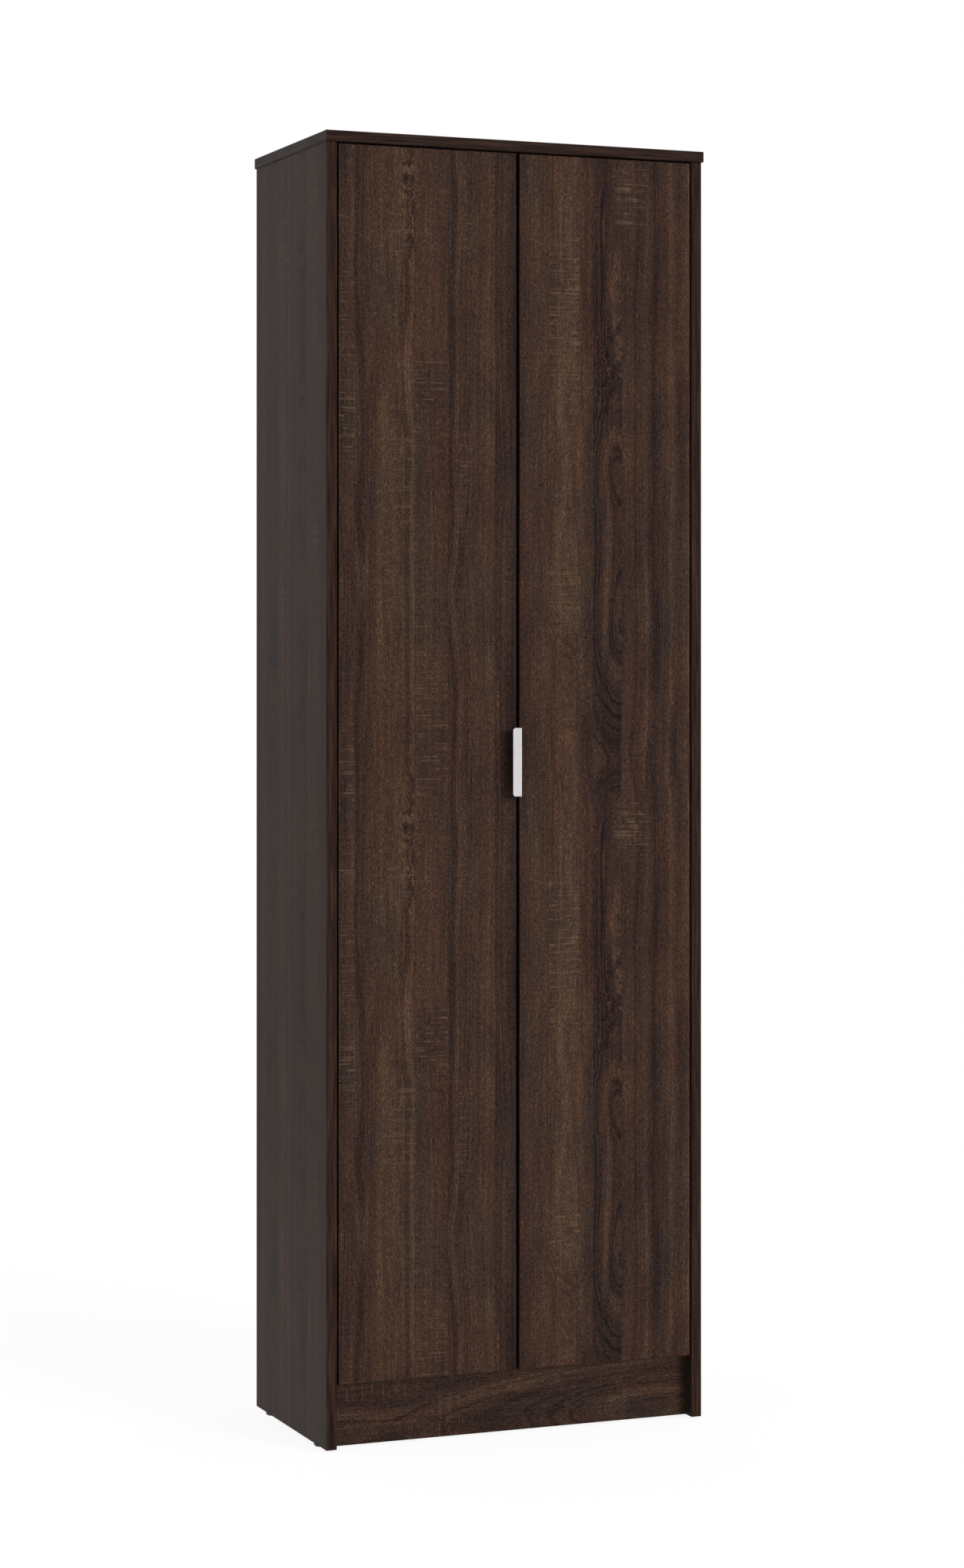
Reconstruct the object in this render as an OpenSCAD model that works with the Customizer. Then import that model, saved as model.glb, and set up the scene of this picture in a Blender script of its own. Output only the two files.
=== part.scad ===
// Tall two-door shoe cabinet. Millimetres, +Z up, the front faces -Y.
// The origin is on the floor, under the middle of the whole cabinet with its pull.

/* [Carcass] */
// Height from the floor to the top face
overall_h = 1900; // [1700:10:2000]
// Width over the two side panels
body_w = 596; // [540:2:700]
// Depth of the side panels, front edge to rear edge
side_d = 318; // [280:2:380]
// Thickness of the carcass boards
board_t = 16; // [15:0.5:18]
// How far the top stands out past each side panel
top_over_side = 2; // [1:0.5:6]
// How far the top stands out past the front of the side panels
top_over_front = 4; // [1:0.5:8]
// Thickness of the edge band round the top
top_band_t = 2; // [1:0.5:3]
// Thickness of the edge bands on the other panels
band_t = 1; // [0.6:0.1:1.5]
// Corner radius of the edge bands
band_r = 0.8; // [0.3:0.1:0.9]
// Corner radius of the top's edge band
top_band_r = 1.8; // [0.5:0.1:2.4]

/* [Plinth] */
// Height of the plinth board
plinth_h = 96; // [80:1:110]
// How far the plinth stands back from the front of the side panels
plinth_recess = 22; // [20:1:40]
// Size of the square blocks that hold the plinth
plinth_block = 28; // [22:1:40]
// Height of the blocks that hold the plinth
plinth_block_h = 70; // [50:1:78]

/* [Doors] */
// Thickness of the doors
door_t = 16; // [15:0.5:18]
// How far the doors' front faces lie behind the front of the side panels
door_inset = 0.5; // [0:0.1:1]
// Gap between a door and its side panel
door_gap_side = 2.5; // [2:0.1:3]
// Gap between the doors and the top
door_gap_top = 2; // [1.5:0.1:4]
// Gap between the two doors
door_gap_centre = 5; // [4:0.1:7]
// How far the doors hang down over the plinth
door_plinth_lap = 3.5; // [1:0.5:8]
// Gap behind the closed doors
door_gap_rear = 2; // [1.8:0.1:3]

/* [Shelves] */
// How far the loose shelves stand back from the front of the side panels
shelf_setback = 34; // [32:1:60]
// Gap between a loose shelf and each side panel
shelf_gap = 1; // [0.5:0.1:2]
// Gap between a loose shelf and the rear panel
shelf_gap_rear = 3; // [2:0.5:6]
// Diameter of the shelf pins
pin_d = 5; // [4:0.5:6]
// Depth of a shelf pin in the side panel
pin_deep = 8; // [6:0.5:10]
// How far a shelf pin's head reaches under the shelf
pin_head_l = 8; // [6:0.5:10]
// Radius of the shelf pin's head
pin_head_r = 5; // [4.5:0.5:6]
// Distance of the shelf pins from the front and rear edges of the side panel
pin_edge = 60; // [50:1:80]

/* [Pull] */
// Length of the pull
pull_l = 100; // [60:1:160]
// Thickness of the pull's metal
pull_t = 1; // [0.8:0.1:2]
// How far the pull's lip stands out from the door's front face
pull_stand = 20; // [14:0.5:30]
// Width of the pull's lip
pull_lip = 14; // [10:0.2:20]
// Corner radius of the pull's lip
pull_lip_r = 4; // [1:0.5:6]
// Width of the flange behind the door
pull_flange = 18; // [14:0.5:24]
// Distance between the pull's two screws
pull_screw_pitch = 64; // [32:1:96]

/* [Glides] */
// Height of the glides under the side panels
glide_h = 4; // [2:0.5:8]
// Diameter of the glides
glide_d = 18; // [14:1:22]
// Distance of the glides from the front and rear edges of the side panels
glide_edge = 50; // [30:1:80]

/* [Rear panel] */
// Thickness of the rear panel
back_t = 3; // [2.5:0.1:4]
// Width of the joining strip's flanges
strip_w = 14; // [10:1:20]
// Thickness of the joining strip's flanges
strip_t = 0.8; // [0.6:0.1:1]
// Nails down each side of the rear panel
nail_count = 9; // [5:1:12]

/* [Fittings] */
// Diameter of the wooden dowels
dowel_d = 8; // [6:1:8]
// Length of the wooden dowels
dowel_l = 30; // [24:1:34]
// Depth of a dowel in the side or top panel that it stands square to
dowel_deep = 11; // [9:0.5:12]
// Diameter of the cam locks
cam_d = 15; // [12:0.5:15]
// Distance from a cam lock's centre to the panel edge it pulls
cam_reach = 34; // [28:1:40]
// Distance of the front cam locks from the front of the side panel
cam_front = 60; // [50:1:80]
// Distance of the rear cam locks from the rear of the side panel
cam_rear = 55; // [50:1:80]
// Distance from a cam lock to the dowel beside it
cam_to_dowel = 32; // [24:1:40]

/* [Hinges] */
// Diameter of the hinge cups
cup_d = 35; // [35:0.5:36]
// Depth of the hinge cups in the door
cup_deep = 11.5; // [11:0.1:12]
// Wall of the hinge cups
cup_wall = 1; // [0.8:0.1:1.2]
// Distance from the door's edge to the cup
cup_edge = 6; // [5.5:0.1:6.5]

/* [Clearances] */
// Radial clearance of screws, nails, dowels and shelf pins in their holes
hole_clear = 0.05; // [0.03:0.01:0.1]
// Radial clearance of the hinge pins
pivot_clear = 0.05; // [0.03:0.01:0.1]
// Clearance between parts of a hinge that pass each other
slide_clear = 0.4; // [0.3:0.05:0.5]

/* [Hidden] */
$fn = 48;
side_names = ["left", "right"];

// Heights
side_z = glide_h;
top_z = overall_h - board_t;
side_h = top_z - side_z;
bottom_z = side_z + plinth_h;
inside_z = bottom_z + board_t;
shelf_count = 7;
middle_index = 4;
bay_h = (top_z - inside_z - shelf_count * board_t) / (shelf_count + 1);
function shelf_z(i) = inside_z + i * bay_h + (i - 1) * board_t;
function bay_mid(i) = inside_z + (i - 0.5) * bay_h + (i - 1) * board_t;
middle_z = shelf_z(middle_index);
loose_index = [1, 2, 3, 5, 6, 7];

// Widths and depths; a local y counts back from the front of the side panels
inner_x = body_w / 2 - board_t;
top_w = body_w + 2 * top_over_side;
front_reach = pull_stand - door_inset;
total_d = front_reach + side_d + back_t + strip_t;
front_y = front_reach - total_d / 2;
back_y = front_y + side_d;

// Doors
door_z = bottom_z - door_plinth_lap;
door_h = top_z - door_gap_top - door_z;
door_w = inner_x - door_gap_side - door_gap_centre / 2;
door_back = door_inset + door_t;
door_free_x = door_gap_side + door_w;
fixed_setback = door_back + door_gap_rear;

// Fittings
cam_h = 12;
cam_play = 0.5;
cam_pocket = cam_h + cam_play;
cam_clear = 0.1;
bolt_bore_r = 4;
bolt_thread_r = 3;
bolt_thread_l = 11;
bolt_collar_r = 3.7;
bolt_head_r = 2.9;
bolt_neck_r = 1.6;
bolt_channel_r = 3.2;
cross_l = 7;
cross_t = 1.2;
cross_deep = 2;
cam_ys = [cam_front, side_d - cam_rear];
dowel_ys = [cam_front + cam_to_dowel, side_d - cam_rear - cam_to_dowel];
hole_floor = 1;
fixed_zs = [bottom_z, middle_z];

// Turns a drawing made for the left side panel's inner face to either side
module at_side(side) {
    mirror([side == "left" ? 0 : 1, 0, 0])
        translate([-inner_x, front_y, 0])
            children();
}

// Cylinder along +x
module x_rod(r, h) {
    rotate([0, 90, 0]) cylinder(r = r, h = h);
}

// Cylinder along +y
module y_rod(r, h) {
    rotate([-90, 0, 0]) cylinder(r = r, h = h);
}

// Section of an edge band: glued face on y = 0, outer face on y = -t
module band_section(w, t, r) {
    translate([0, r - t]) square([w, t - r]);
    translate([r, -t]) square([w - 2 * r, t]);
    intersection() {
        translate([0, -t]) square([w, t]);
        for (x = [r, w - r])
            translate([x, r - t]) circle(r);
    }
}

// Edge band that lies along x, with its outer face to -y
module band_along_x(l, w, t, r) {
    translate([0, 0, w])
        rotate([0, 90, 0])
            linear_extrude(l) band_section(w, t, r);
}

// Places along the side panels' rear edges for the nails
nail_r = 0.7;
nail_head_r = 1.8;
nail_head_t = 0.6;
nail_l = 20;
nail_point = 2;
nail_margin = 40;
back_margin = 1;
strip_play = 0.3;
back_up = 2;
back_down = 0.5;
back_z = bottom_z + back_up;
back_h = top_z - back_down - back_z;
nail_zs = [for (i = [0 : nail_count - 1])
    back_z + nail_margin + i * (back_h - 2 * nail_margin) / (nail_count - 1)];

// Holes for the cam bolts and dowels of the fixed shelves, in a side panel
module side_joint_holes() {
    for (z = fixed_zs, y = cam_ys)
        translate([-bolt_thread_l - hole_floor, y, z + board_t / 2])
            x_rod(bolt_thread_r + hole_clear, bolt_thread_l + 2 * hole_floor);
    for (z = fixed_zs, y = dowel_ys)
        translate([-dowel_deep - hole_floor, y, z + board_t / 2])
            x_rod(dowel_d / 2 + hole_clear, dowel_deep + 2 * hole_floor);
}

// Pockets and bores in a side panel for its joint with the top
module side_top_holes() {
    for (y = cam_ys) {
        translate([-cam_pocket, y, top_z - cam_reach])
            x_rod(cam_d / 2, cam_pocket + 1);
        translate([-board_t / 2, y, top_z - cam_reach])
            cylinder(r = bolt_bore_r, h = cam_reach + 1);
    }
    for (y = dowel_ys)
        translate([-board_t / 2, y, top_z - dowel_l + dowel_deep - hole_floor])
            cylinder(r = dowel_d / 2 + hole_clear, h = dowel_l);
}

pin_hole_ys = [pin_edge, side_d - pin_edge];
pin_drop = pin_head_r / 2;
glide_ys = [glide_edge, side_d - glide_edge];
glide_nail_r = 1.1;
glide_nail_l = 16;

module shelf_pin_holes() {
    for (i = loose_index, y = pin_hole_ys)
        translate([-pin_deep - hole_floor, y, shelf_z(i) - pin_drop])
            x_rod(pin_d / 2 + hole_clear, pin_deep + 2 * hole_floor);
}

// Blocks behind the plinth and their screws
block_y = plinth_recess + board_t;
block_up = 8;
block_z = side_z + block_up;
screw_r = 1.75;
screw_head_r = 3.5;
screw_bite = 10;
block_screw_l = plinth_block + screw_bite;
side_screw_z = block_z + plinth_block_h * 0.3;
front_screw_z = block_z + plinth_block_h * 0.7;

// Holes from a rod-shaped fastener that stands on y = 0 and points to -y
module screw_hole(r, l) {
    translate([0, -l - hole_floor, 0]) y_rod(r + hole_clear, l + 2 * hole_floor);
}

module side_panel(side) {
    color("#3b3230")
    at_side(side)
    difference() {
        translate([-board_t, band_t, side_z])
            cube([board_t, side_d - band_t, side_h]);
        side_joint_holes();
        side_top_holes();
        shelf_pin_holes();
        hinge_plate_holes();
        translate([-screw_bite - hole_floor, block_y + plinth_block / 2, side_screw_z])
            x_rod(screw_r + hole_clear, screw_bite + 2 * hole_floor);
        for (z = nail_zs)
            translate([-board_t / 2, side_d - nail_l + back_t - hole_floor, z])
                y_rod(nail_r + hole_clear, nail_l);
        for (y = glide_ys)
            translate([-board_t / 2, y, side_z - 1])
                cylinder(r = glide_nail_r + hole_clear, h = glide_nail_l + 2);
    }
}

module left_side_panel() side_panel("left");
module right_side_panel() side_panel("right");

module top_panel() {
    color("#3a2f2c")
    difference() {
        translate([top_band_t - top_w / 2, front_y - top_over_front + top_band_t, top_z])
            cube([top_w - 2 * top_band_t, side_d + top_over_front - top_band_t + back_t, board_t]);
        for (side = side_names)
            at_side(side) {
                for (y = cam_ys)
                    translate([-board_t / 2, y, top_z - 1])
                        cylinder(r = bolt_thread_r + hole_clear, h = bolt_thread_l + hole_floor + 1);
                for (y = dowel_ys)
                    translate([-board_t / 2, y, top_z - 1])
                        cylinder(r = dowel_d / 2 + hole_clear, h = dowel_deep + hole_floor + 1);
            }
    }
}

module top_edge_bands() {
    depth = side_d + top_over_front - top_band_t + back_t;
    color("#352a28") {
        translate([-top_w / 2, front_y - top_over_front + top_band_t, top_z])
            band_along_x(top_w, board_t, top_band_t, top_band_r);
        for (m = [0, 1])
            mirror([m, 0, 0])
                translate([top_w / 2 - top_band_t, front_y - top_over_front + top_band_t, top_z])
                    rotate([0, 0, 90])
                        band_along_x(depth, board_t, top_band_t, top_band_r);
    }
}

// Shelf that is cammed to the side panels, with its underside at z
module fixed_shelf(z) {
    difference() {
        translate([-inner_x, front_y + fixed_setback + band_t, z])
            cube([2 * inner_x, side_d - fixed_setback - band_t, board_t]);
        for (side = side_names)
            at_side(side) {
                for (y = cam_ys) {
                    translate([cam_reach, y, z - 1])
                        cylinder(r = cam_d / 2, h = cam_pocket + 1);
                    translate([-1, y, z + board_t / 2])
                        x_rod(bolt_bore_r, cam_reach + 1);
                }
                for (y = dowel_ys)
                    translate([-1, y, z + board_t / 2])
                        x_rod(dowel_d / 2 + hole_clear, dowel_l - dowel_deep + hole_floor + 1);
            }
        translate([-strip_w / 2 - strip_play, back_y - strip_t - strip_play, z - 1])
            cube([strip_w + 2 * strip_play, strip_t + strip_play + 1, board_t + 2]);
    }
}

plinth_dowel_x = inner_x * 0.55;

module bottom_panel() {
    color("#43342d")
    difference() {
        fixed_shelf(bottom_z);
        for (s = [-1, 1])
            translate([s * plinth_dowel_x, front_y + plinth_recess + board_t / 2, bottom_z - 1])
                cylinder(r = dowel_d / 2 + hole_clear, h = dowel_deep + hole_floor + 1);
    }
}

module middle_shelf() {
    color("#43342d") fixed_shelf(middle_z);
}

module plinth_board() {
    color("#33271f")
    difference() {
        translate([-inner_x, front_y + plinth_recess, side_z])
            cube([2 * inner_x, board_t, plinth_h]);
        for (s = [-1, 1])
            translate([s * plinth_dowel_x, front_y + plinth_recess + board_t / 2,
                bottom_z - dowel_l + dowel_deep - hole_floor])
                cylinder(r = dowel_d / 2 + hole_clear, h = dowel_l);
        for (side = side_names)
            at_side(side)
                translate([plinth_block / 2, block_y, front_screw_z])
                    screw_hole(screw_r, screw_bite);
    }
}

module plinth_blocks() {
    color("#b99b6b")
    for (side = side_names)
        at_side(side)
            difference() {
                translate([0, block_y, block_z])
                    cube([plinth_block, plinth_block, plinth_block_h]);
                translate([-1, block_y + plinth_block / 2, side_screw_z])
                    x_rod(screw_r + hole_clear, plinth_block + 2);
                translate([plinth_block - screw_head_r, block_y + plinth_block / 2, side_screw_z])
                    rotate([0, 90, 0])
                        cylinder(r1 = hole_clear, r2 = 2 * screw_head_r + hole_clear, h = 2 * screw_head_r);
                translate([plinth_block / 2, block_y - 1, front_screw_z])
                    y_rod(screw_r + hole_clear, plinth_block + 2);
                translate([plinth_block / 2, block_y + plinth_block - screw_head_r, front_screw_z])
                    rotate([-90, 0, 0])
                        cylinder(r1 = hole_clear, r2 = 2 * screw_head_r + hole_clear, h = 2 * screw_head_r);
            }
}

// Cross recess for a driver in a screw head whose top is at z
slot_w = 0.8;
slot_deep = 1.2;

module driver_slots(head_r, z) {
    for (a = [0, 90])
        rotate([0, 0, a])
            translate([-head_r * 0.55, -slot_w / 2, z - slot_deep])
                cube([head_r * 1.1, slot_w, slot_deep + 1]);
}

// Countersunk screw: its head's flat is on z = 0 and it points to -z
screw_point = 3;

module countersunk_screw(r, head_r, l) {
    difference() {
        rotate_extrude()
            polygon([[0, 0], [head_r, 0], [r, r - head_r], [r, screw_point - l], [0, -l]]);
        driver_slots(head_r, 0);
    }
}

module plinth_screws() {
    color("#b9a15c")
    for (side = side_names)
        at_side(side) {
            translate([plinth_block, block_y + plinth_block / 2, side_screw_z])
                rotate([0, 90, 0])
                    countersunk_screw(screw_r, screw_head_r, block_screw_l);
            translate([plinth_block / 2, block_y + plinth_block, front_screw_z])
                rotate([-90, 0, 0])
                    countersunk_screw(screw_r, screw_head_r, block_screw_l);
        }
}

module loose_shelf(n) {
    i = loose_index[n - 1];
    color("#43342d")
        translate([shelf_gap - inner_x, front_y + shelf_setback + band_t, shelf_z(i)])
            cube([2 * (inner_x - shelf_gap),
                side_d - shelf_setback - band_t - shelf_gap_rear, board_t]);
}

module shelf_1() loose_shelf(1);
module shelf_2() loose_shelf(2);
module shelf_3() loose_shelf(3);
module shelf_4() loose_shelf(4);
module shelf_5() loose_shelf(5);
module shelf_6() loose_shelf(6);

module shelf_edge_bands() {
    color("#352a28") {
        for (z = fixed_zs)
            translate([-inner_x, front_y + fixed_setback + band_t, z])
                band_along_x(2 * inner_x, board_t, band_t, band_r);
        for (i = loose_index)
            translate([shelf_gap - inner_x, front_y + shelf_setback + band_t, shelf_z(i)])
                band_along_x(2 * (inner_x - shelf_gap), board_t, band_t, band_r);
    }
}

module side_edge_bands() {
    color("#352a28")
    for (side = side_names)
        at_side(side)
            translate([-board_t, band_t, side_z])
                linear_extrude(side_h) band_section(board_t, band_t, band_r);
}

// Steel pin with a half-round head whose flat top carries the shelf
module shelf_pin() {
    difference() {
        x_rod(pin_head_r, pin_head_l);
        translate([-1, -pin_head_r - 1, 0])
            cube([pin_head_l + 2, 2 * pin_head_r + 2, pin_head_r + 1]);
    }
    translate([-pin_deep, 0, -pin_drop])
        x_rod(pin_d / 2, pin_deep + 1);
}

module shelf_pins() {
    color("#a9abad")
    for (side = side_names)
        at_side(side)
            for (i = loose_index, y = pin_hole_ys)
                translate([0, y, shelf_z(i)]) shelf_pin();
}

// One half of the rear panel, whose inner edge sits in the joining strip
module back_half() {
    difference() {
        translate([strip_t / 2 + strip_play, back_y, back_z])
            cube([body_w / 2 - back_margin - strip_t / 2 - strip_play, back_t, back_h]);
        for (z = nail_zs)
            translate([body_w / 2 - board_t / 2, back_y - 1, z])
                y_rod(nail_r + hole_clear, back_t + 2);
    }
}

module back_panel_left() {
    color("#e6e2da") mirror([1, 0, 0]) back_half();
}

module back_panel_right() {
    color("#e6e2da") back_half();
}

module back_joint_strip() {
    color("#dad7cf") {
        for (y = [back_y - strip_t, back_y + back_t])
            translate([-strip_w / 2, y, back_z])
                cube([strip_w, strip_t, back_h]);
        translate([-strip_t / 2, back_y - strip_t / 2, back_z])
            cube([strip_t, back_t + strip_t, back_h]);
    }
}

module back_nails() {
    color("#8d8f91")
    for (s = [-1, 1], z = nail_zs)
        translate([s * (body_w / 2 - board_t / 2), back_y + back_t, z])
            rotate([-90, 0, 0])
                rotate_extrude()
                    polygon([[0, nail_head_t], [nail_head_r, nail_head_t], [nail_head_r, 0],
                        [nail_r, 0], [nail_r, nail_point - nail_l], [0, -nail_l]]);
}

module wood_dowels() {
    color("#c9ad7c") {
        for (side = side_names)
            at_side(side) {
                for (z = fixed_zs, y = dowel_ys)
                    translate([-dowel_deep, y, z + board_t / 2]) x_rod(dowel_d / 2, dowel_l);
                for (y = dowel_ys)
                    translate([-board_t / 2, y, top_z + dowel_deep - dowel_l])
                        cylinder(r = dowel_d / 2, h = dowel_l);
            }
        for (s = [-1, 1])
            translate([s * plinth_dowel_x, front_y + plinth_recess + board_t / 2,
                bottom_z + dowel_deep - dowel_l])
                cylinder(r = dowel_d / 2, h = dowel_l);
    }
}

// Cam bolt: its thread points to -z, its collar sits on z = 0, its head is in the cam
module cam_bolt() {
    rotate_extrude()
        polygon([
            [0, -bolt_thread_l], [bolt_thread_r - 1, -bolt_thread_l],
            [bolt_thread_r, 1 - bolt_thread_l], [bolt_thread_r, 0],
            [bolt_collar_r, 0], [bolt_collar_r, 1.5], [bolt_thread_r - 0.5, 2.5],
            [bolt_thread_r - 0.5, cam_reach - cam_d / 2 - 1], [bolt_neck_r, cam_reach - cam_d / 2],
            [bolt_neck_r, cam_reach - bolt_head_r], [bolt_head_r, cam_reach - bolt_head_r / 2],
            [bolt_head_r, cam_reach + bolt_head_r / 2], [0, cam_reach + bolt_head_r]
        ]);
}

// Cam lock on z = 0 to -cam_h, pulled from +x: bolt channel and cross recess
module cam_lock() {
    difference() {
        translate([0, 0, -cam_h]) cylinder(r = cam_d / 2 - cam_clear, h = cam_h);
        translate([-bolt_head_r - 1, 0, -board_t / 2]) x_rod(bolt_channel_r, cam_d);
        for (a = [0, 90])
            rotate([0, 0, a])
                translate([-cross_l / 2, -cross_t / 2, -cross_deep])
                    cube([cross_l, cross_t, cross_deep + 1]);
    }
}

module cam_bolts() {
    color("#c8c9ca")
    for (side = side_names)
        at_side(side)
            for (y = cam_ys) {
                translate([-board_t / 2, y, top_z]) rotate([180, 0, 0]) cam_bolt();
                for (z = fixed_zs)
                    translate([0, y, z + board_t / 2]) rotate([0, 90, 0]) cam_bolt();
            }
}

module cam_locks() {
    color("#bfa76a")
    for (side = side_names)
        at_side(side)
            for (y = cam_ys) {
                translate([0, y, top_z - cam_reach])
                    rotate([0, 90, 0]) rotate([0, 0, 180]) cam_lock();
                for (z = fixed_zs)
                    translate([cam_reach, y, z]) rotate([180, 0, 180]) cam_lock();
            }
}

module glides() {
    color("#1d1c1b")
    for (side = side_names)
        at_side(side)
            for (y = glide_ys)
                translate([-board_t / 2, y, 0])
                    rotate_extrude()
                        polygon([
                            [0, 0], [glide_d / 2 - 2, 0], [glide_d / 2, glide_h / 2],
                            [glide_d / 2, glide_h], [glide_nail_r, glide_h],
                            [glide_nail_r, glide_h + glide_nail_l - nail_point],
                            [0, glide_h + glide_nail_l]
                        ]);
}

bumper_r = 4;
bumper_play = 0.3;
bumper_x = inner_x * 0.45;

module door_bumpers() {
    color("#d9d9d6")
    for (s = [-1, 1], z = fixed_zs)
        translate([s * bumper_x, front_y + fixed_setback, z + board_t / 2])
            rotate([90, 0, 0])
                rotate_extrude()
                    polygon([[0, 0], [bumper_r, 0], [bumper_r - 0.6, door_gap_rear - bumper_play],
                        [0, door_gap_rear - bumper_play]]);
}

module door(side) {
    color("#4a372c")
    at_side(side)
    difference() {
        translate([door_gap_side + band_t, door_inset, door_z + band_t])
            cube([door_w - 2 * band_t, door_t, door_h - 2 * band_t]);
        hinge_cup_pockets();
        if (side == "left") pull_pilot_holes();
    }
}

module left_door() door("left");
module right_door() door("right");

// Edge bands on the four edges of a door
module door_bands(side) {
    inner_l = door_w - 2 * band_t;
    color("#352a28")
    at_side(side) {
        translate([door_gap_side + band_t, door_back, door_z])
            rotate([0, 0, -90])
                linear_extrude(door_h) band_section(door_t, band_t, band_r);
        translate([door_free_x - band_t, door_inset, door_z])
            rotate([0, 0, 90])
                linear_extrude(door_h) band_section(door_t, band_t, band_r);
        translate([door_gap_side + band_t, door_inset, door_z + band_t])
            rotate([90, 0, 90])
                linear_extrude(inner_l) band_section(door_t, band_t, band_r);
        translate([door_gap_side + band_t, door_inset, door_z + door_h - band_t])
            mirror([0, 0, 1])
                rotate([90, 0, 90])
                    linear_extrude(inner_l) band_section(door_t, band_t, band_r);
    }
}

module left_door_edge_bands() door_bands("left");
module right_door_edge_bands() door_bands("right");

// Pull
pull_out_x = door_free_x + pull_t;
pull_front = door_inset - pull_stand;
pull_bend_r = pull_t + band_r / 2;
pull_mid_z = door_z + door_h / 2;
pull_screw_x = pull_out_x - pull_flange * 0.55;
pull_screw_r = 1.5;
pull_screw_head_r = pull_screw_r + 0.9 * pull_t;
pull_screw_l = 14;
pull_screw_zs = [pull_mid_z - pull_screw_pitch / 2, pull_mid_z + pull_screw_pitch / 2];

// Places a fastener that stands on a face at local depth y and points forwards
module forwards_at(x, y, z) {
    translate([x, y, z]) rotate([-90, 0, 0]) children();
}

// Quarter ring at a bend whose outer corner is the origin, centred at [-1, s] * bend
module bend_quarter(s) {
    r = pull_bend_r;
    translate([-r, s * r])
        intersection() {
            difference() {
                circle(r);
                circle(r - pull_t);
            }
            translate([0, s > 0 ? -r : 0]) square(r);
        }
}

// Plan of the pull: lip, web through the centre gap and flange behind the door
module pull_section() {
    rear = door_back + pull_t;
    translate([pull_out_x - pull_t, pull_front + pull_bend_r])
        square([pull_t, rear - pull_front - 2 * pull_bend_r]);
    translate([pull_out_x, pull_front]) bend_quarter(1);
    translate([pull_out_x - pull_lip, pull_front])
        square([pull_lip - pull_bend_r, pull_t]);
    translate([pull_out_x, rear]) bend_quarter(-1);
    translate([pull_out_x - pull_flange, door_back])
        square([pull_flange - pull_bend_r, pull_t]);
}

// Cuts the corner at the origin, whose sides run along +x and s * z, to the radius r
module corner_cut(r, s) {
    mirror([0, 0, s > 0 ? 0 : 1])
        rotate([90, 0, 0])
            translate([0, 0, -pull_t - 1])
                linear_extrude(pull_t + 2)
                    difference() {
                        translate([-1, -1]) square(r + 1);
                        translate([r, r]) circle(r);
                    }
}

module door_pull() {
    color("#b9b9bb")
    at_side("left")
    difference() {
        translate([0, 0, pull_mid_z - pull_l / 2])
            linear_extrude(pull_l) pull_section();
        for (s = [-1, 1]) {
            translate([pull_out_x - pull_lip, pull_front, pull_mid_z - s * pull_l / 2])
                corner_cut(pull_lip_r, s);
            translate([pull_out_x - pull_flange, door_back, pull_mid_z - s * pull_l / 2])
                corner_cut(pull_lip_r, s);
        }
        for (z = pull_screw_zs) {
            translate([pull_screw_x, door_back - 1, z])
                y_rod(pull_screw_r + hole_clear, pull_t + 2);
            forwards_at(pull_screw_x, door_back + pull_t - pull_screw_head_r, z)
                cylinder(r1 = hole_clear, r2 = 2 * pull_screw_head_r + hole_clear,
                    h = 2 * pull_screw_head_r);
        }
    }
}

module pull_pilot_holes() {
    for (z = pull_screw_zs)
        translate([pull_screw_x, door_back - pull_screw_l, z])
            y_rod(pull_screw_r + hole_clear, pull_screw_l + 1);
}

module door_pull_screws() {
    color("#a8a9ab")
    at_side("left")
    for (z = pull_screw_zs)
        forwards_at(pull_screw_x, door_back + pull_t, z)
            countersunk_screw(pull_screw_r, pull_screw_head_r, pull_screw_l);
}

// Concealed hinges, one in the middle of each of these bays
hinge_bays = [1, 3, 6, 8];
hinge_zs = [for (b = hinge_bays) bay_mid(b)];

// A hinge's plan is laid out from the middle of its cup's mouth
cup_x = door_gap_side + cup_edge + cup_d / 2;
function from_cup(p) = [cup_x + p[0], door_back + p[1]];
outer_cup_pivot = from_cup([-13.5, -0.6]);
inner_cup_pivot = from_cup([-10.5, -4.5]);
outer_arm_pivot = from_cup([16, 36.5]);
inner_arm_pivot = from_cup([5.1, 3.1]);

// Links, ears and cheeks lie side by side, each counted from the hinge's middle plane
sheet_t = 1.2;
inner_half = 2.4;
ear_in = inner_half + slide_clear;
ear_out = ear_in + sheet_t;
link_in = ear_out + slide_clear;
link_out = link_in + sheet_t;
arm_in = link_out + slide_clear;
arm_out = arm_in + sheet_t;

// Hinge pins; the inner link's eye at the cup is wide, because its pin shifts in it
outer_cup_pin_r = 1;
inner_cup_pin_r = 1.25;
outer_arm_pin_r = 1.5;
inner_arm_pin_r = 1;
eye_play = 0.85;
small_eye_wall = 0.7;
large_eye_wall = 2.1;
ear_half = 2;
eye_edge = [1.8, 3.1];

// Cup
cup_r = cup_d / 2;
cup_bore_r = cup_r - cup_wall;
cup_fit = 0.1;
flange_t = 0.8;
flange_x = 5;
flange_w = 18;
flange_l = 60;
flange_corner_r = 5;
flange_bulge = 1.5;
cup_ear_w = 4;
cup_ear_h = 1.4;
cup_screw_pitch = 48;
cup_screw_l = 14;
pan_head_r = 3.4;
pan_head_h = 1.6;

// Arm and mounting plate
arm_web_x = 9;
arm_back = 24;
arm_l = 58;
arm_start = door_back + arm_back;
arm_end = arm_start + arm_l;
ear_foot = from_cup([-2.5, 12]);
cheek_deep = 5;
plate_t = 2;
plate_w = 13;
plate_l = 48;
rail_back = 36;
rail_l = 44;
rail_start = door_back + rail_back;
rail_end = rail_start + rail_l;
plate_y = rail_start + rail_l / 2;
plate_screw_pitch = 32;
plate_screw_l = 14;
arm_screw_r = 2;
arm_screw_l = 7;
arm_screw_in = 8;
arm_screw_ys = [rail_start + arm_screw_in, rail_end - arm_screw_in];

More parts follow.
